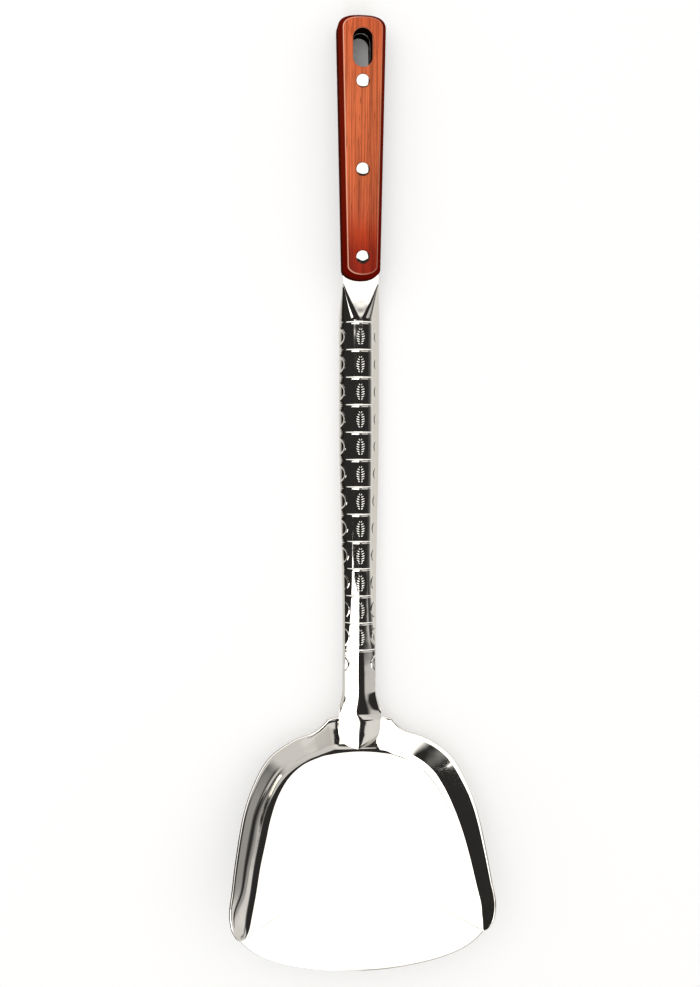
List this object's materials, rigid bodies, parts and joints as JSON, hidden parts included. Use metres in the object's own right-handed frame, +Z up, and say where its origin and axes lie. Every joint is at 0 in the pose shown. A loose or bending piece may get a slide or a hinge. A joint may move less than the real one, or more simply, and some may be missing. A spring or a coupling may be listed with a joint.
{
  "type": "cooking spatula",
  "caption": "Wok turner with a pressed steel shovel blade, an embossed channel shank welded to it and a riveted two-scale wooden grip with a hanging slot.",
  "frame": {"origin": "on the blade's flat underside, on the centre line, midway between the heel and the middle of the open edge", "axes": "+Z up off the table, +Y along the centre line towards the grip, +X to the right seen from above with the grip at the top"},
  "size_m": [0.1034, 0.3522, 0.102],
  "materials": {
    "polished_steel": "mirror-polished stainless steel",
    "red_hardwood": "lacquered red hardwood, straight grain with dark pores"
  },
  "bodies": {
    "root": {"blade": "polished_steel", "shank": "polished_steel", "front_scale": "red_hardwood", "back_scale": "red_hardwood", "lower_rivet": "polished_steel", "middle_rivet": "polished_steel", "upper_rivet": "polished_steel"}
  },
  "joints": []
}
